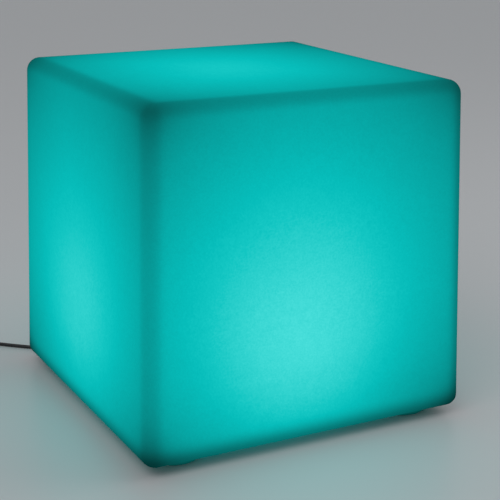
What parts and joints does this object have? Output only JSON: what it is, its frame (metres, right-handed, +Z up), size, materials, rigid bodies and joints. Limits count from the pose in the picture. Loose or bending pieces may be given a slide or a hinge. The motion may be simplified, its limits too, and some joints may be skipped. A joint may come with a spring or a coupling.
{
  "type": "floating pool light",
  "caption": "Hollow moulded cube light on low feet, with a sealed battery light module in its base, a power button, and a charging lead coiled beside it.",
  "frame": {"origin": "on the floor, under the middle of the block, at the underside of its feet", "axes": "+Z up; the block's four sides face -X, +X, -Y and +Y; the charging lead leaves towards +Y and -X"},
  "size_m": [0.5288, 0.5088, 0.403],
  "materials": {
    "milky_plastic": "satin, lit from inside",
    "brass": "machined",
    "seal_rubber": "matt",
    "module_plastic": "satin",
    "stainless": "satin",
    "diffuser": "frosted",
    "plate_mask": "matt white mask",
    "led_body": "gloss",
    "dark_plastic": "gloss",
    "board": "solder mask",
    "cell_wrap": "film wrap",
    "nickel": "plated",
    "button_plastic": "satin",
    "lens": "clear",
    "cap_rubber": "matt",
    "lead_skin": "satin",
    "adapter_plastic": "fine texture",
    "strap": "woven",
    "wire_skin": "satin"
  },
  "bodies": {
    "base": {"shell": "milky_plastic", "shell_inserts": "brass", "flange_gasket": "seal_rubber", "module_housing": "module_plastic", "flange_screws": "stainless", "flange_washers": "seal_rubber", "diffuser_dome": "diffuser", "dome_gasket": "seal_rubber", "led_plate": "plate_mask", "leds": "led_body", "led_plate_screws": "stainless", "ir_receiver": "dark_plastic", "control_board": "board", "board_components": "dark_plastic", "board_screws": "stainless", "battery_cells": "cell_wrap", "battery_cradle": "dark_plastic", "battery_tabs": "nickel", "cradle_screws": "stainless", "button_bezel": "stainless", "button_nut": "module_plastic", "button_seal": "seal_rubber", "tact_switch": "dark_plastic", "indicator_lens": "lens", "indicator_led": "led_body", "charge_socket": "dark_plastic", "socket_seal": "seal_rubber", "socket_nut": "nickel", "socket_pin": "nickel", "led_wires": "wire_skin", "battery_wires": "wire_skin", "socket_wires": "wire_skin", "plug_body": "lead_skin", "plug_relief": "lead_skin", "plug_barrel": "nickel", "plug_insulator": "dark_plastic", "charge_lead": "lead_skin", "charge_lead_coil": "lead_skin", "charge_lead_tail": "lead_skin", "lead_tie": "strap", "adapter_body": "adapter_plastic", "adapter_relief": "lead_skin", "adapter_cover": "adapter_plastic", "adapter_prongs": "nickel"},
    "button": {"button_cap": "button_plastic", "switch_plunger": "dark_plastic"},
    "socket_cap": {"socket_cap": "cap_rubber"}
  },
  "joints": [
    {"name": "button_press", "type": "slide", "parent": "base", "child": "button", "axis": [0, 0, 1], "range_m": [0, 0.0012], "stiffness_N_per_m": 400, "springref_m": -0.004},
    {"name": "socket_cap_swing", "type": "hinge", "parent": "base", "child": "socket_cap", "pos_m": [0.034, -0.001, 0.046], "axis": [0, 0, 1], "range_deg": [-60, 180]}
  ]
}
